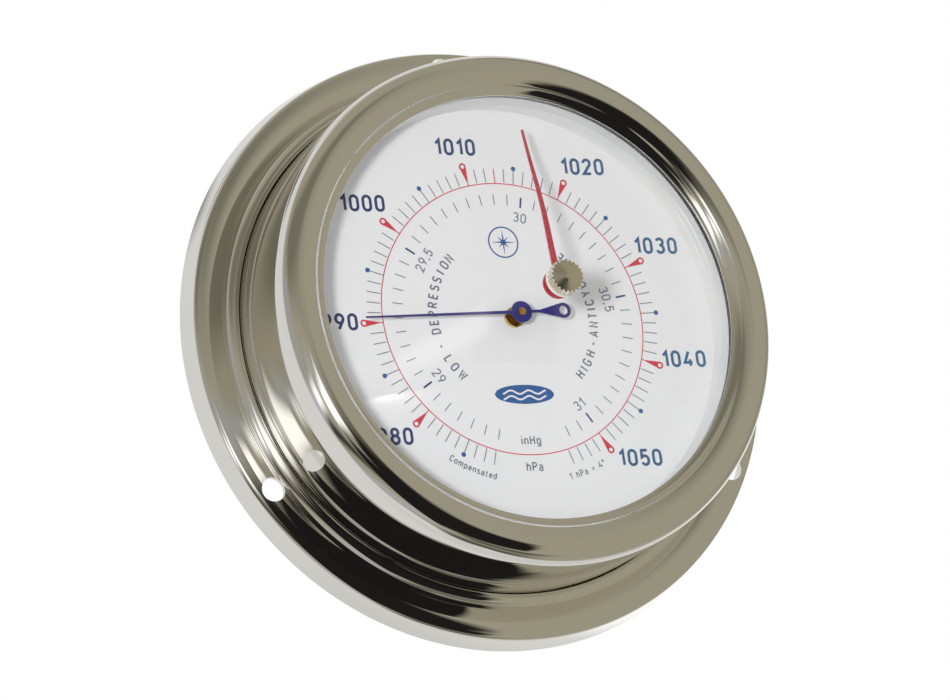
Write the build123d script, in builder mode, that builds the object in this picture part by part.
"""Aneroid barometer for a bulkhead: a flanged, plated drum case with a domed glass.

Frame: the wall is the plane Y = 0 and the dial faces -Y, with X to the right and Z up as it is
read. The origin is the centre of the wall plane. Heights called "front" are distances from the
wall towards the reader. Angles called "clock" run clockwise from 12 o'clock, as read.
"""

from build123d import *
import os
from math import cos, pi, radians, sin, sqrt

os.makedirs("parts", exist_ok=True)

# ---------------------------------------------------------------- driving dimensions (mm, degrees)

# Case: one spun shell, flange and drum together
RIM_RADIUS = 64.4  # outer edge of the flange at the wall
FLANGE_FRONT = 5.8  # front of the flange's face
SHEET = 1.2
DRUM_RADIUS = 51.9
DRUM_BORE = DRUM_RADIUS - SHEET
DRUM_FRONT = 27.0
WALL_HOLE_RADIUS = 2.5
WALL_HOLE_CIRCLE = 59.5
WALL_HOLE_CLOCK = -1.5  # the dial stands this much clockwise of the holes

# Dial and glass
DIAL_FRONT = 20.0
DIAL_THICKNESS = 0.8
DIAL_RADIUS = 50.3
DIAL_OPENING = 44.45  # bore of the white ring round the dial
LIP_RADIUS = 44.7
BEZEL_CREST = 30.8
BEZEL_RADIUS = 53.96
GLASS_INNER_SPHERE = 71.0
GLASS_THICKNESS = 2.0
GLASS_CROWN = 41.9  # inner face of the glass on the axis
GLASS_RIM = 47.0
GLASS_HOLE = 1.1

# Rear
COVER_THICKNESS = 1.2
RING_THICKNESS = 2.0
PLATE_THICKNESS = 1.2
RING_FRONT = COVER_THICKNESS + RING_THICKNESS
PLATE_FRONT = RING_FRONT + PLATE_THICKNESS
COVER_RADIUS = 50.3
COVER_SCREW_CIRCLE = 47.2
PLATE_SCREW_CIRCLE = 46.0
SCREW_SHANK = 0.95
SCREW_HOLE = 1.0

# Movement
BRIDGE_REAR = 14.2
BRIDGE_THICKNESS = 1.2
BRIDGE_FRONT = BRIDGE_REAR + BRIDGE_THICKNESS
MODULE = 0.2
PINION_LEAVES = 12
SECTOR_FULL_COUNT = 144  # teeth if the sector went all the way round
PINION_PITCH = MODULE * PINION_LEAVES / 2
SECTOR_PITCH = MODULE * SECTOR_FULL_COUNT / 2
SECTOR_STEP = 360 / SECTOR_FULL_COUNT
SECTOR_CLOCK = 30.0  # direction from the pointer's axis to the sector's
SECTOR_REAR = 9.3
SECTOR_THICKNESS = 0.8
TAIL_LENGTH = 6.0
LINK_ARM_LENGTH = 8.0
LIFT_ARM_LENGTH = 3.5
ROCKER_FRONT = 14.0
PIVOT_GAP = 0.03  # radial clearance of a running pivot

# Capsules
CAPSULE_RADIUS = 15.0
CAPSULE_HEIGHT = 2.6
CAPSULE_SHEET = 0.25
CAPSULE_AXIS = (-17.0, -12.0)

# Hands
POINTER_FRONT = 24.0
POINTER_CLOCK = -92.0  # 990 hPa on a dial of 4 degrees to the hectopascal, 1013 at the top
POINTER_LENGTH = 34.0
MARKER_CLOCK = 6.5
MARKER_HUB_FRONT = 41.0


# ---------------------------------------------------------------- planes and places

SECTION = Plane(origin=(0, 0, 0), x_dir=(1, 0, 0), z_dir=(0, 0, -1))  # x is radius, y is front


def facing(front):
    """A plane parallel to the wall, seen as the dial is read: x to the right, y up."""
    return Plane.XZ.offset(front)


def clock(radius, degrees, centre=(0.0, 0.0)):
    """The point at a radius and clock angle from a centre, on a plane that faces the reader."""
    angle = radians(degrees)
    return (centre[0] + radius * sin(angle), centre[1] + radius * cos(angle))


def section_at(centre):
    """A half section through an axis that stands on the wall at (x, z)."""
    return Plane(origin=(centre[0], 0, centre[1]), x_dir=(1, 0, 0), z_dir=(0, 0, -1))


def axis_at(centre):
    """The line through (x, z), square to the wall."""
    return Axis((centre[0], 0, centre[1]), (0, 1, 0))


def hand_plane(degrees):
    """The plane through the dial's axis along a hand: x runs along the hand, y is front."""
    angle = radians(degrees)
    return Plane(origin=(0, 0, 0), x_dir=(sin(angle), 0, cos(angle)), z_dir=(cos(angle), 0, -sin(angle)))


SECTOR_AXIS = clock(PINION_PITCH + SECTOR_PITCH, SECTOR_CLOCK)
TAIL_PIN = (SECTOR_AXIS[0] + TAIL_LENGTH, SECTOR_AXIS[1])
ROCKER_Z = CAPSULE_AXIS[1] + LIFT_ARM_LENGTH
LINK_EYE_FRONT = ROCKER_FRONT - LINK_ARM_LENGTH
BRIDGE_PILLARS = [(-9.0, 8.0), (4.0, 26.0), (22.0, -3.0)]
ROCKER_LEFT = -34.5  # centres of the two rocker brackets along X
ROCKER_RIGHT = 17.0
BRACKET_WIDTH = 2.0


# ---------------------------------------------------------------- case and rear

with BuildPart() as case_body:
    with BuildSketch(SECTION):
        with BuildLine():
            Line((RIM_RADIUS, 0), (63.5, 4.5))
            ThreePointArc((63.5, 4.5), (63.2, 5.4), (62.3, FLANGE_FRONT))
            ThreePointArc((62.3, FLANGE_FRONT), (59.6, 6.0), (57.0, 5.55))
            ThreePointArc((57.0, 5.55), (54.95, 7.25), (53.2, 5.75))
            Line((53.2, 5.75), (52.7, 5.75))
            ThreePointArc((52.7, 5.75), (52.13, 5.98), (DRUM_RADIUS, 6.55))
            Polyline(
                (DRUM_RADIUS, 6.55),
                (DRUM_RADIUS, DRUM_FRONT),
                (DRUM_BORE, DRUM_FRONT),
                (DRUM_BORE, 5.1),
            )
            ThreePointArc((DRUM_BORE, 5.1), (50.85, 4.75), (51.2, 4.6))
            Line((51.2, 4.6), (53.5, 4.6))
            ThreePointArc((53.5, 4.6), (55.0, 6.0), (56.6, 4.4))
            ThreePointArc((56.6, 4.4), (59.4, 4.75), (61.6, 4.55))
            ThreePointArc((61.6, 4.55), (62.05, 4.35), (62.25, 3.9))
            Polyline((62.25, 3.9), (62.95, 0), (RIM_RADIUS, 0))
        make_face()
    revolve(axis=Axis.Y)
    with BuildSketch(facing(FLANGE_FRONT - 3)):
        with PolarLocations(WALL_HOLE_CIRCLE, 3, start_angle=90 - WALL_HOLE_CLOCK):
            Circle(WALL_HOLE_RADIUS)
    extrude(amount=5, mode=Mode.SUBTRACT)
case_body.part.label = "case_body"
export_step(case_body.part, "parts/case_body.step")

# L-section ring soldered inside the drum's rear end: it holds the cover and the movement
with BuildPart() as mounting_ring:
    with BuildSketch(SECTION):
        with BuildLine():
            Polyline(
                (44.0, COVER_THICKNESS),
                (50.4, COVER_THICKNESS),
                (DRUM_BORE - 0.05, COVER_THICKNESS + 0.3),
                (DRUM_BORE - 0.05, 10.0),
                (49.5, 10.0),
                (49.5, RING_FRONT),
                (44.0, RING_FRONT),
                close=True,
            )
        make_face()
    revolve(axis=Axis.Y)
    with BuildSketch(facing(0)):
        with PolarLocations(COVER_SCREW_CIRCLE, 3, start_angle=0):
            Circle(SCREW_HOLE)
        with PolarLocations(PLATE_SCREW_CIRCLE, 3, start_angle=60):
            Circle(SCREW_HOLE)
    extrude(amount=RING_FRONT + 1, mode=Mode.SUBTRACT)
mounting_ring.part.label = "mounting_ring"
export_step(mounting_ring.part, "parts/mounting_ring.step")

ADJUSTER_HOLE = 2.8

with BuildPart() as rear_cover:
    with BuildSketch(facing(0)):
        Circle(COVER_RADIUS)
        with Locations(CAPSULE_AXIS):
            Circle(ADJUSTER_HOLE, mode=Mode.SUBTRACT)
        with PolarLocations(COVER_SCREW_CIRCLE, 3, start_angle=0):
            Circle(SCREW_HOLE, mode=Mode.SUBTRACT)
    extrude(amount=COVER_THICKNESS)
    with BuildSketch(facing(0)):
        with PolarLocations(COVER_SCREW_CIRCLE, 3, start_angle=0):
            Circle(2.05)
    extrude(amount=1.0, taper=45, mode=Mode.SUBTRACT)
rear_cover.part.label = "rear_cover"
export_step(rear_cover.part, "parts/rear_cover.step")

# Countersunk screws, heads flush with the wall face and slotted across
with BuildPart() as rear_cover_screws:
    with BuildSketch(facing(0.05)):
        with PolarLocations(COVER_SCREW_CIRCLE, 3, start_angle=0):
            Circle(1.95)
    extrude(amount=1.0, taper=45)
    with BuildSketch(facing(0.6)):
        with PolarLocations(COVER_SCREW_CIRCLE, 3, start_angle=0):
            Circle(SCREW_SHANK)
    extrude(amount=RING_FRONT - 0.6 - 0.1)
    with BuildSketch(facing(0)):
        with PolarLocations(COVER_SCREW_CIRCLE, 3, start_angle=0):
            Rectangle(0.5, 4.2)
    extrude(amount=0.45, mode=Mode.SUBTRACT)
rear_cover_screws.part.label = "rear_cover_screws"
export_step(rear_cover_screws.part, "parts/rear_cover_screws.step")


# ---------------------------------------------------------------- dial, glass and bezel

SEAT_THICKNESS = 1.5
DIAL_REAR = DIAL_FRONT - DIAL_THICKNESS
DIAL_HOLE = 1.55

with BuildPart() as dial_seat_ring:
    with BuildSketch(facing(DIAL_REAR - SEAT_THICKNESS)):
        Circle(DRUM_BORE - 0.05)
        Circle(47.0, mode=Mode.SUBTRACT)
    extrude(amount=SEAT_THICKNESS)
dial_seat_ring.part.label = "dial_seat_ring"
export_step(dial_seat_ring.part, "parts/dial_seat_ring.step")

with BuildPart() as dial_plate:
    with BuildSketch(facing(DIAL_REAR)):
        Circle(DIAL_RADIUS)
        Circle(DIAL_HOLE, mode=Mode.SUBTRACT)
    extrude(amount=DIAL_THICKNESS)
dial_plate.part.label = "dial_plate"
export_step(dial_plate.part, "parts/dial_plate.step")

# Slotted brass bush in the middle of the dial, round the pointer's arbor
with BuildPart() as dial_bush:
    with BuildSketch(facing(DIAL_REAR - 0.6)):
        Circle(DIAL_HOLE - 0.02)
    extrude(amount=DIAL_THICKNESS + 0.6)
    with BuildSketch(facing(DIAL_FRONT)):
        Circle(2.1)
    extrude(amount=0.9)
    with BuildSketch(facing(DIAL_REAR - 1)):
        Circle(0.75)
    extrude(amount=4, mode=Mode.SUBTRACT)
    with BuildSketch(facing(DIAL_FRONT + 0.45)):
        Rectangle(0.5, 5)
        Rectangle(5, 0.5)
    extrude(amount=1, mode=Mode.SUBTRACT)
dial_bush.part.label = "dial_bush"
export_step(dial_bush.part, "parts/dial_bush.step")


def glass_front(radius, sphere):
    """Front height of a glass sphere at a radius; both faces share one centre."""
    return GLASS_CROWN - GLASS_INNER_SPHERE + sqrt(sphere**2 - radius**2)


GLASS_OUTER_SPHERE = GLASS_INNER_SPHERE + GLASS_THICKNESS
MID_RADIUS = GLASS_RIM / 2

with BuildPart() as reflector_ring:
    with BuildSketch(SECTION):
        with BuildLine():
            Polyline(
                (DIAL_OPENING, DIAL_FRONT),
                (DIAL_OPENING, 26.1),
                (47.2, 23.8),
                (47.2, 22.4),
                (45.7, 22.4),
                (45.7, DIAL_FRONT),
                close=True,
            )
        make_face()
    revolve(axis=Axis.Y)
reflector_ring.part.label = "reflector_ring"
export_step(reflector_ring.part, "parts/reflector_ring.step")

with BuildPart() as domed_glass:
    with BuildSketch(SECTION):
        with BuildLine():
            Line(
                (GLASS_HOLE, glass_front(GLASS_HOLE, GLASS_INNER_SPHERE)),
                (GLASS_HOLE, glass_front(GLASS_HOLE, GLASS_OUTER_SPHERE)),
            )
            ThreePointArc(
                (GLASS_HOLE, glass_front(GLASS_HOLE, GLASS_OUTER_SPHERE)),
                (MID_RADIUS, glass_front(MID_RADIUS, GLASS_OUTER_SPHERE)),
                (GLASS_RIM, glass_front(GLASS_RIM, GLASS_OUTER_SPHERE)),
            )
            Line(
                (GLASS_RIM, glass_front(GLASS_RIM, GLASS_OUTER_SPHERE)),
                (GLASS_RIM, glass_front(GLASS_RIM, GLASS_INNER_SPHERE)),
            )
            ThreePointArc(
                (GLASS_RIM, glass_front(GLASS_RIM, GLASS_INNER_SPHERE)),
                (MID_RADIUS, glass_front(MID_RADIUS, GLASS_INNER_SPHERE)),
                (GLASS_HOLE, glass_front(GLASS_HOLE, GLASS_INNER_SPHERE)),
            )
        make_face()
    revolve(axis=Axis.Y)
domed_glass.part.label = "domed_glass"
export_step(domed_glass.part, "parts/domed_glass.step")

LIP_REAR = 29.0

with BuildPart() as glass_gasket:
    with BuildSketch(SECTION):
        with BuildLine():
            Polyline((45.0, 28.45), (45.0, LIP_REAR), (47.3, LIP_REAR), (47.3, 26.6), close=True)
        make_face()
    revolve(axis=Axis.Y)
glass_gasket.part.label = "glass_gasket"
export_step(glass_gasket.part, "parts/glass_gasket.step")

# Rolled bezel: an inner cove down to the lip, a round crest and a skirt over the whole drum
SKIRT_TOP = 27.3
SKIRT_REAR = 7.2
SKIRT_EDGE = 0.2
SKIRT_INNER = 53.05
SLEEVE_REAR = 20.0  # a sleeve inside the skirt's front end fits the drum
SLEEVE_BORE = DRUM_RADIUS + 0.05
SEAT_BORE = 50.3

with BuildPart() as bezel:
    with BuildSketch(SECTION):
        with BuildLine():
            ThreePointArc((LIP_RADIUS + 0.2, LIP_REAR), (LIP_RADIUS, 29.22), (LIP_RADIUS + 0.2, 29.44))
            ThreePointArc((LIP_RADIUS + 0.2, 29.44), (45.878, 29.679), (46.7, 30.26))
            ThreePointArc((46.7, 30.26), (47.025, 30.505), (47.41, 30.637))
            ThreePointArc((47.41, 30.637), (48.896, 30.833), (50.4, BEZEL_CREST))
            ThreePointArc((50.4, BEZEL_CREST), (52.93, 29.77), (BEZEL_RADIUS, SKIRT_TOP))
            Polyline(
                (BEZEL_RADIUS, SKIRT_TOP),
                (BEZEL_RADIUS, SKIRT_REAR + SKIRT_EDGE),
                (BEZEL_RADIUS - SKIRT_EDGE, SKIRT_REAR),
                (SKIRT_INNER, SKIRT_REAR),
                (SKIRT_INNER, SLEEVE_REAR),
                (SLEEVE_BORE, SLEEVE_REAR),
                (SLEEVE_BORE, DRUM_FRONT + 0.1),
                (SEAT_BORE, DRUM_FRONT + 0.1),
                (SEAT_BORE, LIP_REAR),
                (LIP_RADIUS + 0.2, LIP_REAR),
            )
        make_face()
    revolve(axis=Axis.Y)
bezel.part.label = "bezel"
export_step(bezel.part, "parts/bezel.step")


# ---------------------------------------------------------------- movement plates

ARBOR_PIVOT = 0.3
SECTOR_PIVOT = 0.35
FRONT_ARBOR = 0.5
BUSH_BODY = 2.6
STRIP_WIDTH = 10.0
STRIP_TOP = -4.0
STRIP_BOTTOM = -38.0
STRIP_REAR = 5.0
STRIP_THICKNESS = 0.6
STRIP_SCREWS = [(CAPSULE_AXIS[0] - 2.5, -35.0), (CAPSULE_AXIS[0] + 2.5, -35.0)]
BRACKET_FEET = [(ROCKER_LEFT - 4.0, ROCKER_Z), (ROCKER_RIGHT + 4.0, ROCKER_Z)]
SMALL_SHANK = 0.7
SMALL_HOLE = 0.75

with BuildPart() as base_plate:
    with BuildSketch(facing(RING_FRONT)):
        Circle(48.8)
        Circle(ARBOR_PIVOT + PIVOT_GAP, mode=Mode.SUBTRACT)
        with Locations(SECTOR_AXIS):
            Circle(SECTOR_PIVOT + PIVOT_GAP, mode=Mode.SUBTRACT)
        with Locations(CAPSULE_AXIS):
            Circle(BUSH_BODY + 0.02, mode=Mode.SUBTRACT)
        with Locations(*STRIP_SCREWS, *BRACKET_FEET):
            Circle(SMALL_HOLE, mode=Mode.SUBTRACT)
        with PolarLocations(PLATE_SCREW_CIRCLE, 3, start_angle=60):
            Circle(SCREW_HOLE, mode=Mode.SUBTRACT)
    extrude(amount=PLATE_THICKNESS)
base_plate.part.label = "base_plate"
export_step(base_plate.part, "parts/base_plate.step")

with BuildPart() as base_plate_screws:
    with BuildSketch(facing(COVER_THICKNESS + 0.3)):
        with PolarLocations(PLATE_SCREW_CIRCLE, 3, start_angle=60):
            Circle(SCREW_SHANK)
    extrude(amount=PLATE_FRONT - COVER_THICKNESS - 0.3)
    with BuildSketch(facing(PLATE_FRONT)):
        with PolarLocations(PLATE_SCREW_CIRCLE, 3, start_angle=60):
            Circle(1.8)
    extrude(amount=1.2)
    with BuildSketch(facing(PLATE_FRONT + 0.7)):
        with PolarLocations(PLATE_SCREW_CIRCLE, 3, start_angle=60):
            Rectangle(0.4, 4)
    extrude(amount=1, mode=Mode.SUBTRACT)
base_plate_screws.part.label = "base_plate_screws"
export_step(base_plate_screws.part, "parts/base_plate_screws.step")

with BuildPart() as bridge_plate:
    with BuildSketch(facing(BRIDGE_REAR)):
        with Locations((0, 0), *BRIDGE_PILLARS):
            Circle(3.2)
        make_hull()
        with Locations((0, 0)):
            Circle(FRONT_ARBOR + PIVOT_GAP, mode=Mode.SUBTRACT)
        with Locations(SECTOR_AXIS):
            Circle(SECTOR_PIVOT + PIVOT_GAP, mode=Mode.SUBTRACT)
        with Locations(*BRIDGE_PILLARS):
            Circle(SMALL_HOLE, mode=Mode.SUBTRACT)
    extrude(amount=BRIDGE_THICKNESS)
bridge_plate.part.label = "bridge_plate"
export_step(bridge_plate.part, "parts/bridge_plate.step")

with BuildPart() as bridge_pillars:
    with BuildSketch(facing(PLATE_FRONT)):
        with Locations(*BRIDGE_PILLARS):
            Circle(1.6)
    extrude(amount=BRIDGE_REAR - PLATE_FRONT)
    with BuildSketch(facing(BRIDGE_REAR - 3)):
        with Locations(*BRIDGE_PILLARS):
            Circle(SMALL_HOLE)
    extrude(amount=4, mode=Mode.SUBTRACT)
bridge_pillars.part.label = "bridge_pillars"
export_step(bridge_pillars.part, "parts/bridge_pillars.step")


def cheese_head_screws(places, head_rear, shank_length, head_radius=1.5):
    """A group of identical slotted screws, heads towards the reader."""
    with BuildPart() as group:
        with BuildSketch(facing(head_rear - shank_length)):
            with Locations(*places):
                Circle(SMALL_SHANK)
        extrude(amount=shank_length)
        with BuildSketch(facing(head_rear)):
            with Locations(*places):
                Circle(head_radius)
        extrude(amount=0.9)
        with BuildSketch(facing(head_rear + 0.5)):
            with Locations(*places):
                Rectangle(0.35, 2 * head_radius + 0.2)
        extrude(amount=1, mode=Mode.SUBTRACT)
    return group


bridge_screws = cheese_head_screws(BRIDGE_PILLARS, BRIDGE_FRONT, BRIDGE_THICKNESS + 2.5)
bridge_screws.part.label = "bridge_screws"
export_step(bridge_screws.part, "parts/bridge_screws.step")


# ---------------------------------------------------------------- capsules and their seat

with BuildPart() as capsule_strip:
    with BuildSketch(facing(STRIP_REAR)):
        with Locations((CAPSULE_AXIS[0], (STRIP_TOP + STRIP_BOTTOM) / 2)):
            RectangleRounded(STRIP_WIDTH, STRIP_TOP - STRIP_BOTTOM, 1.5)
        with Locations(*STRIP_SCREWS):
            Circle(SMALL_HOLE, mode=Mode.SUBTRACT)
    extrude(amount=STRIP_THICKNESS)
capsule_strip.part.label = "capsule_strip"
export_step(capsule_strip.part, "parts/capsule_strip.step")

with BuildPart() as strip_spacer:
    with BuildSketch(facing(PLATE_FRONT)):
        with Locations((CAPSULE_AXIS[0], STRIP_BOTTOM + 3)):
            RectangleRounded(STRIP_WIDTH, 6, 1.0)
        with Locations(*STRIP_SCREWS):
            Circle(SMALL_HOLE, mode=Mode.SUBTRACT)
    extrude(amount=STRIP_REAR - PLATE_FRONT)
strip_spacer.part.label = "strip_spacer"
export_step(strip_spacer.part, "parts/strip_spacer.step")

STRIP_FRONT = STRIP_REAR + STRIP_THICKNESS
strip_screws = cheese_head_screws(STRIP_SCREWS, STRIP_FRONT, STRIP_FRONT - RING_FRONT - 0.1)
strip_screws.part.label = "strip_screws"
export_step(strip_screws.part, "parts/strip_screws.step")

FOOT_HEIGHT = 0.4
CAPSULE_REAR = STRIP_FRONT + FOOT_HEIGHT

with BuildPart() as capsule_foot:
    with BuildSketch(facing(STRIP_FRONT)):
        with Locations(CAPSULE_AXIS):
            Circle(3.0)
    extrude(amount=FOOT_HEIGHT)
capsule_foot.part.label = "capsule_foot"
export_step(capsule_foot.part, "parts/capsule_foot.step")

SOLDER_GAP = 0.02  # between the two diaphragms at the rim
WAVE_START = 4.0
WAVE_END = 13.6
WAVES = 3
WAVE_HEIGHT = 0.16


def diaphragm_rise(radius):
    """How far a corrugated diaphragm stands above its rim at a radius."""
    share = (WAVE_END - radius) / (WAVE_END - WAVE_START)
    full = CAPSULE_HEIGHT / 2 - CAPSULE_SHEET
    return full * share + WAVE_HEIGHT * sin(2 * pi * WAVES * share)


def capsule(rear):
    """One capsule: two corrugated diaphragms, soldered together at the rim."""
    middle = rear + CAPSULE_HEIGHT / 2
    steps = 6 * WAVES
    radii = [WAVE_START + (WAVE_END - WAVE_START) * n / steps for n in range(steps + 1)]
    with BuildPart() as shell:
        for side in (1, -1):
            outer = [(r, middle + side * (diaphragm_rise(r) + CAPSULE_SHEET)) for r in radii]
            inner = [(r, middle + side * diaphragm_rise(r)) for r in radii]
            with BuildSketch(section_at(CAPSULE_AXIS)):
                with BuildLine():
                    Spline(*outer)
                    Polyline(
                        outer[-1],
                        (CAPSULE_RADIUS, middle + side * CAPSULE_SHEET),
                        (CAPSULE_RADIUS, middle + side * SOLDER_GAP / 2),
                        (WAVE_END, middle + side * SOLDER_GAP / 2),
                        inner[-1],
                    )
                    Spline(*inner)
                    Polyline(inner[0], (0, inner[0][1]), (0, outer[0][1]), outer[0])
                make_face()
            revolve(axis=axis_at(CAPSULE_AXIS))
    return shell


CAPSULE_GAP = 0.4

capsule_lower = capsule(CAPSULE_REAR)
capsule_lower.part.label = "capsule_lower"
export_step(capsule_lower.part, "parts/capsule_lower.step")

COUPLING_REAR = CAPSULE_REAR + CAPSULE_HEIGHT

with BuildPart() as capsule_coupling:
    with BuildSketch(facing(COUPLING_REAR)):
        with Locations(CAPSULE_AXIS):
            Circle(2.0)
    extrude(amount=CAPSULE_GAP)
capsule_coupling.part.label = "capsule_coupling"
export_step(capsule_coupling.part, "parts/capsule_coupling.step")

capsule_upper = capsule(COUPLING_REAR + CAPSULE_GAP)
capsule_upper.part.label = "capsule_upper"
export_step(capsule_upper.part, "parts/capsule_upper.step")

STACK_FRONT = COUPLING_REAR + CAPSULE_GAP + CAPSULE_HEIGHT
POST_TIP = ROCKER_FRONT - 0.15

with BuildPart() as capsule_post:
    with BuildSketch(section_at(CAPSULE_AXIS)):
        with BuildLine():
            Polyline(
                (0, STACK_FRONT),
                (1.6, STACK_FRONT),
                (1.6, STACK_FRONT + 0.5),
                (0.7, STACK_FRONT + 0.7),
                (0.7, POST_TIP - 0.5),
                (0.2, POST_TIP),
                (0, POST_TIP),
                close=True,
            )
        make_face()
    revolve(axis=axis_at(CAPSULE_AXIS))
capsule_post.part.label = "capsule_post"
export_step(capsule_post.part, "parts/capsule_post.step")

# Flanged bush in the base plate, and the screw that sets the pointer through it from behind
ADJUSTER_SHANK = 1.4

with BuildPart() as adjuster_bush:
    with BuildSketch(facing(RING_FRONT - 1)):
        with Locations(CAPSULE_AXIS):
            Circle(3.8)
    extrude(amount=1)
    with BuildSketch(facing(RING_FRONT)):
        with Locations(CAPSULE_AXIS):
            Circle(BUSH_BODY)
    extrude(amount=PLATE_THICKNESS)
    with BuildSketch(facing(0)):
        with Locations(CAPSULE_AXIS):
            Circle(ADJUSTER_SHANK + 0.04)
    extrude(amount=PLATE_FRONT + 1, mode=Mode.SUBTRACT)
adjuster_bush.part.label = "adjuster_bush"
export_step(adjuster_bush.part, "parts/adjuster_bush.step")

with BuildPart() as adjusting_screw:
    with BuildSketch(facing(0.3)):
        with Locations(CAPSULE_AXIS):
            Circle(2.4)
    extrude(amount=1.3)
    with BuildSketch(facing(1.6)):
        with Locations(CAPSULE_AXIS):
            Circle(ADJUSTER_SHANK)
    extrude(amount=STRIP_REAR - 1.6 - 0.1)
    with BuildSketch(facing(0)):
        with Locations(CAPSULE_AXIS):
            Rectangle(0.6, 6)
    extrude(amount=0.9, mode=Mode.SUBTRACT)
adjusting_screw.part.label = "adjusting_screw"
export_step(adjusting_screw.part, "parts/adjusting_screw.step")


# ---------------------------------------------------------------- rocker and link

ROCKER_PIVOT = 0.5
ROCKER_SHAFT = 0.8
BRACKET_FOOT = 1.2

with BuildPart() as rocker_brackets:
    for post_x, foot_x in ((ROCKER_LEFT, BRACKET_FEET[0][0]), (ROCKER_RIGHT, BRACKET_FEET[1][0])):
        with BuildSketch(facing(PLATE_FRONT)):
            with Locations((post_x, ROCKER_Z)):
                Rectangle(BRACKET_WIDTH, 4)
        extrude(amount=ROCKER_FRONT + 1.6 - PLATE_FRONT)
        with BuildSketch(facing(PLATE_FRONT)):
            with Locations(((post_x + foot_x) / 2, ROCKER_Z)):
                SlotOverall(abs(foot_x - post_x) + 4, 4)
            with Locations((foot_x, ROCKER_Z)):
                Circle(SMALL_HOLE, mode=Mode.SUBTRACT)
        extrude(amount=BRACKET_FOOT)
    with BuildSketch(Plane.YZ.offset(ROCKER_LEFT - 5)):
        with Locations((-ROCKER_FRONT, ROCKER_Z)):
            Circle(ROCKER_PIVOT + PIVOT_GAP)
    extrude(amount=ROCKER_RIGHT - ROCKER_LEFT + 10, mode=Mode.SUBTRACT)
rocker_brackets.part.label = "rocker_brackets"
export_step(rocker_brackets.part, "parts/rocker_brackets.step")

bracket_screws = cheese_head_screws(
    BRACKET_FEET, PLATE_FRONT + BRACKET_FOOT, PLATE_THICKNESS + BRACKET_FOOT - 0.1, head_radius=1.4
)
bracket_screws.part.label = "bracket_screws"
export_step(bracket_screws.part, "parts/bracket_screws.step")

SHAFT_LEFT = ROCKER_LEFT + BRACKET_WIDTH / 2 + 0.2
SHAFT_RIGHT = ROCKER_RIGHT - BRACKET_WIDTH / 2 - 0.2

with BuildPart() as rocker_shaft:
    with BuildSketch(Plane.YZ.offset(SHAFT_LEFT)):
        with Locations((-ROCKER_FRONT, ROCKER_Z)):
            Circle(ROCKER_SHAFT)
    extrude(amount=SHAFT_RIGHT - SHAFT_LEFT)
    with BuildSketch(Plane.YZ.offset(ROCKER_LEFT - 0.9)):
        with Locations((-ROCKER_FRONT, ROCKER_Z)):
            Circle(ROCKER_PIVOT)
    extrude(amount=ROCKER_RIGHT - ROCKER_LEFT + 1.8)
rocker_shaft.part.label = "rocker_shaft"
export_step(rocker_shaft.part, "parts/rocker_shaft.step")

COLLAR_RADIUS = 1.8
COLLAR_BORE = ROCKER_SHAFT + 0.01

# Bimetal lift arm: a collar on the shaft and a flat strip over the capsule's post
with BuildPart() as lift_arm:
    with BuildSketch(Plane.YZ.offset(CAPSULE_AXIS[0] - 1.2)):
        with Locations((-ROCKER_FRONT, ROCKER_Z)):
            Circle(COLLAR_RADIUS)
    extrude(amount=2.4)
    with BuildSketch(facing(ROCKER_FRONT)):
        with Locations((CAPSULE_AXIS[0], ROCKER_Z - 3.4)):
            Rectangle(2.4, 4.4)
    extrude(amount=0.6)
    with BuildSketch(Plane.YZ.offset(CAPSULE_AXIS[0] - 5)):
        with Locations((-ROCKER_FRONT, ROCKER_Z)):
            Circle(COLLAR_BORE)
    extrude(amount=10, mode=Mode.SUBTRACT)
lift_arm.part.label = "lift_arm"
export_step(lift_arm.part, "parts/lift_arm.step")

LINK_ARM_LEFT = TAIL_PIN[0] - 1.8
LINK_ARM_THICKNESS = 0.8
LINK_PIN = 0.35
EYE_WIDTH = 0.8

with BuildPart() as link_arm:
    with BuildSketch(Plane.YZ.offset(LINK_ARM_LEFT - 0.4)):
        with Locations((-ROCKER_FRONT, ROCKER_Z)):
            Circle(COLLAR_RADIUS)
    extrude(amount=LINK_ARM_THICKNESS + 0.8)
    with BuildSketch(Plane.YZ.offset(LINK_ARM_LEFT)):
        with Locations((-(ROCKER_FRONT + LINK_EYE_FRONT) / 2, ROCKER_Z)):
            SlotOverall(LINK_ARM_LENGTH + 2.0, 2.0)
    extrude(amount=LINK_ARM_THICKNESS)
    with BuildSketch(Plane.YZ.offset(LINK_ARM_LEFT)):
        with Locations((-LINK_EYE_FRONT, ROCKER_Z)):
            Circle(LINK_PIN)
    extrude(amount=LINK_ARM_THICKNESS + 2.4)
    with BuildSketch(Plane.YZ.offset(LINK_ARM_LEFT - 5)):
        with Locations((-ROCKER_FRONT, ROCKER_Z)):
            Circle(COLLAR_BORE)
    extrude(amount=10, mode=Mode.SUBTRACT)
link_arm.part.label = "link_arm"
export_step(link_arm.part, "parts/link_arm.step")

EYE_RADIUS = 1.25
OPEN_EYE = 0.75  # the open pivot: wide enough for the arm's small arc
TAIL_EYE_REAR = SECTOR_REAR - 1.0
TAIL_EYE_THICKNESS = 0.7
TAIL_PIN_RADIUS = 0.4
WIRE_RADIUS = 0.35
LINK_BEND_Z = TAIL_PIN[1] - 4.0
LINK_FRONT = TAIL_EYE_REAR + TAIL_EYE_THICKNESS / 2

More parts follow.
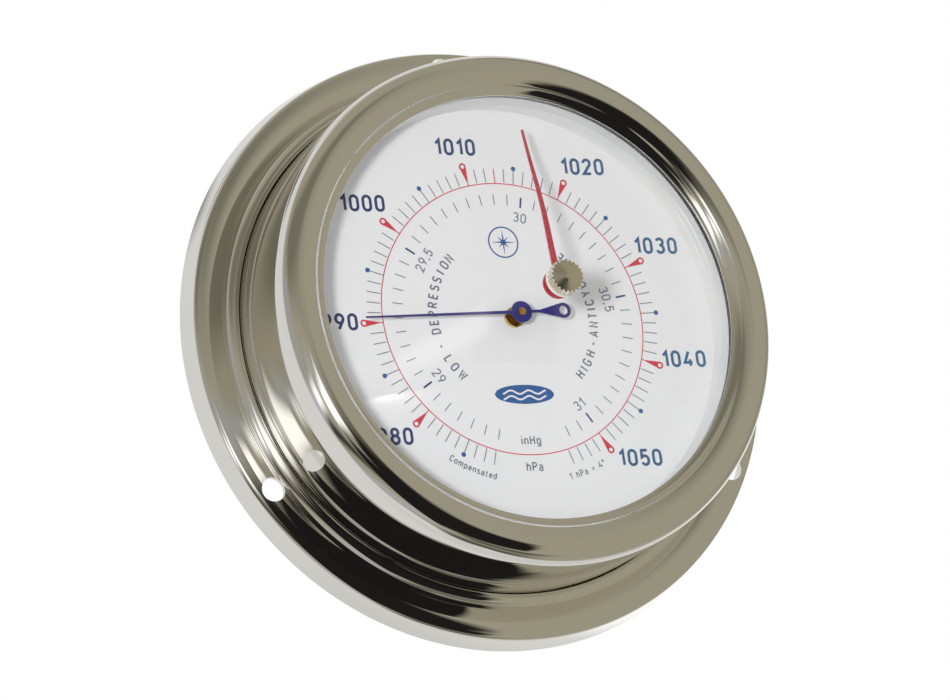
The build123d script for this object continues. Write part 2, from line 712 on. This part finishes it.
# Wire link: an eye round the arm's pin below, an eye on the sector's tail pin above
with BuildPart() as link_rod:
    with BuildSketch(Plane.YZ.offset(TAIL_PIN[0] - EYE_WIDTH / 2)):
        with Locations((-LINK_EYE_FRONT, ROCKER_Z)):
            Circle(EYE_RADIUS)
    extrude(amount=EYE_WIDTH)
    with BuildSketch(facing(TAIL_EYE_REAR)):
        with Locations(TAIL_PIN):
            Circle(EYE_RADIUS)
    extrude(amount=TAIL_EYE_THICKNESS)
    with BuildLine() as wire:
        FilletPolyline(
            (TAIL_PIN[0], -LINK_EYE_FRONT, ROCKER_Z + 0.9),
            (TAIL_PIN[0], -LINK_EYE_FRONT, ROCKER_Z + 4.0),
            (TAIL_PIN[0], -LINK_FRONT, LINK_BEND_Z),
            (TAIL_PIN[0], -LINK_FRONT, TAIL_PIN[1] - 0.9),
            radius=2.0,
        )
    with BuildSketch(Plane(origin=wire.line @ 0, z_dir=wire.line % 0)):
        Circle(WIRE_RADIUS)
    sweep(path=wire.line)
    with BuildSketch(Plane.YZ.offset(TAIL_PIN[0] - 2)):
        with Locations((-LINK_EYE_FRONT, ROCKER_Z)):
            Circle(OPEN_EYE)
    extrude(amount=4, mode=Mode.SUBTRACT)
    with BuildSketch(facing(TAIL_EYE_REAR - 1)):
        with Locations(TAIL_PIN):
            Circle(TAIL_PIN_RADIUS + PIVOT_GAP)
    extrude(amount=3, mode=Mode.SUBTRACT)
link_rod.part.label = "link_rod"
export_step(link_rod.part, "parts/link_rod.step")

with BuildPart() as tail_pin:
    with BuildSketch(facing(TAIL_EYE_REAR - 0.4)):
        with Locations(TAIL_PIN):
            Circle(TAIL_PIN_RADIUS)
    extrude(amount=SECTOR_REAR + SECTOR_THICKNESS - TAIL_EYE_REAR + 0.6)
    with BuildSketch(facing(TAIL_EYE_REAR - 0.7)):
        with Locations(TAIL_PIN):
            Circle(0.75)
    extrude(amount=0.4)
tail_pin.part.label = "tail_pin"
export_step(tail_pin.part, "parts/tail_pin.step")


# ---------------------------------------------------------------- sector, pinion and hairspring

ADDENDUM = 0.17
DEDENDUM = 0.25
TOOTH_ROOT = 0.30  # widths of a tooth at its root and tip
TOOTH_TIP = 0.13
SECTOR_ROOT = SECTOR_PITCH - DEDENDUM
SECTOR_BAND = 1.4
FIRST_TOOTH = -4  # numbered clockwise from the line of centres
LAST_TOOTH = 10
HUB_RADIUS = 2.0
SECTOR_ARBOR = 0.7
MESH_CLOCK = SECTOR_CLOCK + 180
START_CLOCK = MESH_CLOCK + FIRST_TOOTH * SECTOR_STEP
END_CLOCK = MESH_CLOCK + LAST_TOOTH * SECTOR_STEP
TOOTH_COUNT = LAST_TOOTH - FIRST_TOOTH + 1


def tooth(width_at_root, width_at_tip, height):
    """A straight-sided tooth that stands on a root circle and points along x."""
    Polygon(
        (-0.1, -width_at_root / 2),
        (0, -width_at_root / 2),
        (height, -width_at_tip / 2),
        (height, width_at_tip / 2),
        (0, width_at_root / 2),
        (-0.1, width_at_root / 2),
        align=None,
    )


with BuildPart() as sector_gear:
    with BuildSketch(facing(SECTOR_REAR)):
        with Locations(SECTOR_AXIS):
            Circle(SECTOR_ROOT)
            Circle(SECTOR_ROOT - SECTOR_BAND, mode=Mode.SUBTRACT)
        Polygon(
            SECTOR_AXIS,
            clock(20, START_CLOCK - 1.2, SECTOR_AXIS),
            clock(20, (START_CLOCK + END_CLOCK) / 2, SECTOR_AXIS),
            clock(20, END_CLOCK + 1.2, SECTOR_AXIS),
            align=None,
            mode=Mode.INTERSECT,
        )
        for edge in (START_CLOCK, END_CLOCK):
            inward = 2.2 if edge == START_CLOCK else -2.2
            Polygon(
                clock(1.0, edge - 40, SECTOR_AXIS),
                clock(SECTOR_ROOT - 0.7, edge + inward - 2.2, SECTOR_AXIS),
                clock(SECTOR_ROOT - 0.7, edge + inward + 2.2, SECTOR_AXIS),
                clock(1.0, edge + 40, SECTOR_AXIS),
                align=None,
            )
        with Locations(SECTOR_AXIS):
            Circle(HUB_RADIUS)
            with PolarLocations(
                SECTOR_ROOT, TOOTH_COUNT, start_angle=90 - END_CLOCK,
                angular_range=END_CLOCK - START_CLOCK, endpoint=True,
            ):
                tooth(TOOTH_ROOT, TOOTH_TIP, ADDENDUM + DEDENDUM)
        with Locations(((SECTOR_AXIS[0] + TAIL_PIN[0]) / 2, SECTOR_AXIS[1])):
            SlotOverall(TAIL_LENGTH + 2.2, 2.2)
        with Locations(SECTOR_AXIS):
            Circle(SECTOR_ARBOR + 0.01, mode=Mode.SUBTRACT)
        with Locations(TAIL_PIN):
            Circle(TAIL_PIN_RADIUS + 0.01, mode=Mode.SUBTRACT)
    extrude(amount=SECTOR_THICKNESS)
    with BuildSketch(facing(SECTOR_REAR + SECTOR_THICKNESS)):
        with Locations(SECTOR_AXIS):
            Circle(1.5)
            Circle(SECTOR_ARBOR + 0.01, mode=Mode.SUBTRACT)
    extrude(amount=0.9)
sector_gear.part.label = "sector_gear"
export_step(sector_gear.part, "parts/sector_gear.step")

SHOULDER_GAP = 0.3  # end shake between an arbor's shoulder and its plate

with BuildPart() as sector_arbor:
    with BuildSketch(facing(RING_FRONT + 0.2)):
        with Locations(SECTOR_AXIS):
            Circle(SECTOR_PIVOT)
    extrude(amount=BRIDGE_FRONT - RING_FRONT - 0.4)
    with BuildSketch(facing(PLATE_FRONT + SHOULDER_GAP)):
        with Locations(SECTOR_AXIS):
            Circle(SECTOR_ARBOR)
    extrude(amount=BRIDGE_REAR - PLATE_FRONT - 2 * SHOULDER_GAP)
sector_arbor.part.label = "sector_arbor"
export_step(sector_arbor.part, "parts/sector_arbor.step")

PINION_REAR = 8.9
PINION_LENGTH = 1.6
PINION_ROOT = PINION_PITCH - DEDENDUM
ARBOR_RADIUS = 0.6

with BuildPart() as pointer_pinion:
    with BuildSketch(facing(PINION_REAR)):
        Circle(PINION_ROOT)
        with PolarLocations(PINION_ROOT, PINION_LEAVES, start_angle=90 - SECTOR_CLOCK + 180 / PINION_LEAVES):
            tooth(0.27, 0.12, ADDENDUM + DEDENDUM)
        Circle(ARBOR_RADIUS + 0.01, mode=Mode.SUBTRACT)
    extrude(amount=PINION_LENGTH)
pointer_pinion.part.label = "pointer_pinion"
export_step(pointer_pinion.part, "parts/pointer_pinion.step")

ARBOR_TIP = POINTER_FRONT + 0.9

with BuildPart() as pointer_arbor:
    with BuildSketch(facing(RING_FRONT + 0.2)):
        Circle(ARBOR_PIVOT)
    extrude(amount=PLATE_THICKNESS + 1)
    with BuildSketch(facing(PLATE_FRONT + SHOULDER_GAP)):
        Circle(ARBOR_RADIUS)
    extrude(amount=BRIDGE_REAR - PLATE_FRONT - 2 * SHOULDER_GAP)
    with BuildSketch(facing(BRIDGE_REAR - 1)):
        Circle(FRONT_ARBOR)
    extrude(amount=ARBOR_TIP - BRIDGE_REAR + 1)
pointer_arbor.part.label = "pointer_arbor"
export_step(pointer_arbor.part, "parts/pointer_arbor.step")

SPRING_REAR = 12.5
SPRING_WIDTH = 0.5
SPRING_SHEET = 0.12
SPRING_START = 1.45
SPRING_END = 5.0
SPRING_TURNS = 4
STUD_CLOCK = 45.0
COLLET_RADIUS = SPRING_START - SPRING_SHEET / 2

with BuildPart() as hairspring_collet:
    with BuildSketch(facing(SPRING_REAR - 0.2)):
        Circle(COLLET_RADIUS)
        Circle(ARBOR_RADIUS + 0.01, mode=Mode.SUBTRACT)
    extrude(amount=SPRING_WIDTH + 0.4)
hairspring_collet.part.label = "hairspring_collet"
export_step(hairspring_collet.part, "parts/hairspring_collet.step")


def spiral(side):
    """Points along one face of the flat spiral spring, from the collet out to the stud."""
    steps = 12 * SPRING_TURNS
    points = []
    for n in range(steps + 1):
        radius = SPRING_START + (SPRING_END - SPRING_START) * n / steps + side * SPRING_SHEET / 2
        points.append(clock(radius, STUD_CLOCK + 360 * SPRING_TURNS * (n / steps - 1)))
    return points


with BuildPart() as hairspring:
    with BuildSketch(facing(SPRING_REAR)):
        with BuildLine():
            outer_face = Spline(*spiral(1))
            inner_face = Spline(*spiral(-1))
            Line(outer_face @ 0, inner_face @ 0)
            Line(outer_face @ 1, inner_face @ 1)
        make_face()
    extrude(amount=SPRING_WIDTH)
hairspring.part.label = "hairspring"
export_step(hairspring.part, "parts/hairspring.step")

STUD_RADIUS = 0.5

with BuildPart() as hairspring_stud:
    with BuildSketch(facing(SPRING_REAR - 0.2)):
        with Locations(clock(SPRING_END + SPRING_SHEET / 2 + STUD_RADIUS, STUD_CLOCK)):
            Circle(STUD_RADIUS)
    extrude(amount=BRIDGE_REAR - SPRING_REAR + 0.2)
hairspring_stud.part.label = "hairspring_stud"
export_step(hairspring_stud.part, "parts/hairspring_stud.step")


# ---------------------------------------------------------------- pointer

POINTER_SHEET = 0.3
POINTER_HUB = 2.25
BOSS_RADIUS = 0.8
RING_CENTRE = 9.35
RING_RADIUS = 1.6
RING_HOLE = 0.95

with BuildPart() as pointer_boss:
    with BuildSketch(facing(POINTER_FRONT - 2)):
        Circle(1.2)
        Circle(FRONT_ARBOR + 0.01, mode=Mode.SUBTRACT)
    extrude(amount=2 - POINTER_SHEET)
    with BuildSketch(facing(POINTER_FRONT - POINTER_SHEET)):
        Circle(BOSS_RADIUS)
        Circle(FRONT_ARBOR + 0.01, mode=Mode.SUBTRACT)
    extrude(amount=POINTER_SHEET + 0.4)
pointer_boss.part.label = "pointer_boss"
export_step(pointer_boss.part, "parts/pointer_boss.step")


def along_hand(plane_degrees, reach, half_width):
    """The two points either side of a hand at a reach from its axis, left one first."""
    angle = radians(plane_degrees)
    across = (cos(angle), -sin(angle))
    centre = clock(reach, plane_degrees)
    left = (centre[0] - half_width * across[0], centre[1] - half_width * across[1])
    right = (centre[0] + half_width * across[0], centre[1] + half_width * across[1])
    return left, right


def taper(degrees, start, start_half, end, end_half):
    """A straight tapered bar along a hand."""
    near_left, near_right = along_hand(degrees, start, start_half)
    far_left, far_right = along_hand(degrees, end, end_half)
    Polygon(near_left, far_left, far_right, near_right, align=None)


TAIL_CLOCK = POINTER_CLOCK + 180

with BuildPart() as pointer:
    with BuildSketch(facing(POINTER_FRONT - POINTER_SHEET)):
        Circle(POINTER_HUB)
        taper(POINTER_CLOCK, 1.0, 0.34, POINTER_LENGTH, 0.17)
        taper(TAIL_CLOCK, 1.0, 0.3, 4.4, 0.3)
        taper(TAIL_CLOCK, 4.2, 0.3, RING_CENTRE - 0.55, RING_RADIUS - 0.08)
        with Locations(clock(RING_CENTRE, TAIL_CLOCK)):
            Circle(RING_RADIUS)
            Circle(RING_HOLE, mode=Mode.SUBTRACT)
        Circle(BOSS_RADIUS + 0.01, mode=Mode.SUBTRACT)
    extrude(amount=POINTER_SHEET)
pointer.part.label = "pointer"
export_step(pointer.part, "parts/pointer.step")


# ---------------------------------------------------------------- marker: knob, spindle and red hand

SPINDLE_RADIUS = 1.05
MARKER_SHEET = 0.4
MARKER_REACH = 37.9
MARKER_HUB = 3.0
KNOB_RADIUS = 3.6
KNOB_REAR = 44.5
KNOB_FRONT = 46.7
KNOB_POINT = 0.5  # rise of the coned face at its centre
KNOB_EDGE = 0.2
KNOB_TEETH = 22
KNOB_NOTCH = 0.8
KNOB_BORE_DEPTH = 1.05
GLASS_CROWN_OUTER = GLASS_CROWN + GLASS_THICKNESS
WASHER_THICKNESS = 0.5
WASHER_RADIUS = 3.6

with BuildPart() as marker_spindle:
    with BuildSketch(facing(MARKER_HUB_FRONT - MARKER_SHEET - 0.2)):
        Circle(SPINDLE_RADIUS)
    extrude(amount=KNOB_REAR + 1.0 - MARKER_HUB_FRONT + MARKER_SHEET + 0.2)
marker_spindle.part.label = "marker_spindle"
export_step(marker_spindle.part, "parts/marker_spindle.step")

with BuildPart() as marker_knob:
    with BuildSketch(SECTION):
        with BuildLine():
            Polyline(
                (0, KNOB_REAR),
                (KNOB_RADIUS - KNOB_EDGE, KNOB_REAR),
                (KNOB_RADIUS, KNOB_REAR + KNOB_EDGE),
                (KNOB_RADIUS, KNOB_FRONT - KNOB_EDGE),
                (KNOB_RADIUS - KNOB_EDGE, KNOB_FRONT),
                (0, KNOB_FRONT + KNOB_POINT),
                close=True,
            )
        make_face()
    revolve(axis=Axis.Y)
    with BuildSketch(facing(KNOB_REAR - 1)):
        Circle(SPINDLE_RADIUS + 0.01)
    extrude(amount=KNOB_BORE_DEPTH + 1, mode=Mode.SUBTRACT)
    with BuildSketch(facing(KNOB_REAR - 1)):
        with PolarLocations(KNOB_RADIUS, KNOB_TEETH):
            Rectangle(KNOB_NOTCH, KNOB_NOTCH, rotation=45)
    extrude(amount=KNOB_FRONT - KNOB_REAR + 2, mode=Mode.SUBTRACT)
marker_knob.part.label = "marker_knob"
export_step(marker_knob.part, "parts/marker_knob.step")

with BuildPart() as marker_washer:
    with BuildSketch(facing(GLASS_CROWN_OUTER + 0.05)):
        Circle(WASHER_RADIUS)
        Circle(SPINDLE_RADIUS + 0.02, mode=Mode.SUBTRACT)
    extrude(amount=WASHER_THICKNESS)
    fillet(marker_washer.edges().filter_by(GeomType.CIRCLE).sort_by(SortBy.RADIUS)[-2:], 0.15)
marker_washer.part.label = "marker_washer"
export_step(marker_washer.part, "parts/marker_washer.step")

# Dished spring washer that keeps the hand where it is set
with BuildPart() as marker_spring_washer:
    with BuildSketch(SECTION):
        with BuildLine():
            Polyline(
                (SPINDLE_RADIUS + 0.05, MARKER_HUB_FRONT + 0.05),
                (2.3, GLASS_CROWN - 0.4),
                (2.3, GLASS_CROWN - 0.1),
                (2.1, GLASS_CROWN - 0.1),
                (SPINDLE_RADIUS + 0.05, MARKER_HUB_FRONT + 0.35),
                close=True,
            )
        make_face()
    revolve(axis=Axis.Y)
marker_spring_washer.part.label = "marker_spring_washer"
export_step(marker_spring_washer.part, "parts/marker_spring_washer.step")

# The red hand bows with the glass; the points are its front face, reach against front
HAND_CURVE = [
    (0, MARKER_HUB_FRONT),
    (4.0, 40.45),
    (8.0, 39.1),
    (13.2, 37.35),
    (20.8, 34.45),
    (28.4, 31.0),
    (38.6, 26.5),
]

with BuildPart() as marker_hand:
    with BuildSketch(hand_plane(MARKER_CLOCK)):
        with BuildLine():
            Spline(*HAND_CURVE)
            Spline(*[(reach, front - MARKER_SHEET) for reach, front in HAND_CURVE])
            Line(HAND_CURVE[0], (HAND_CURVE[0][0], HAND_CURVE[0][1] - MARKER_SHEET))
            Line(HAND_CURVE[-1], (HAND_CURVE[-1][0], HAND_CURVE[-1][1] - MARKER_SHEET))
        make_face()
    extrude(amount=3, both=True)
    with BuildSketch(facing(20)):
        taper(MARKER_CLOCK, 0.0, 0.72, MARKER_REACH, 0.22)
    extrude(amount=30, mode=Mode.INTERSECT)
    with BuildSketch(facing(MARKER_HUB_FRONT - MARKER_SHEET)):
        Circle(MARKER_HUB)
    extrude(amount=MARKER_SHEET)
    with BuildSketch(facing(MARKER_HUB_FRONT - 3)):
        Circle(SPINDLE_RADIUS + 0.01)
    extrude(amount=6, mode=Mode.SUBTRACT)
marker_hand.part.label = "marker_hand"
export_step(marker_hand.part, "parts/marker_hand.step")
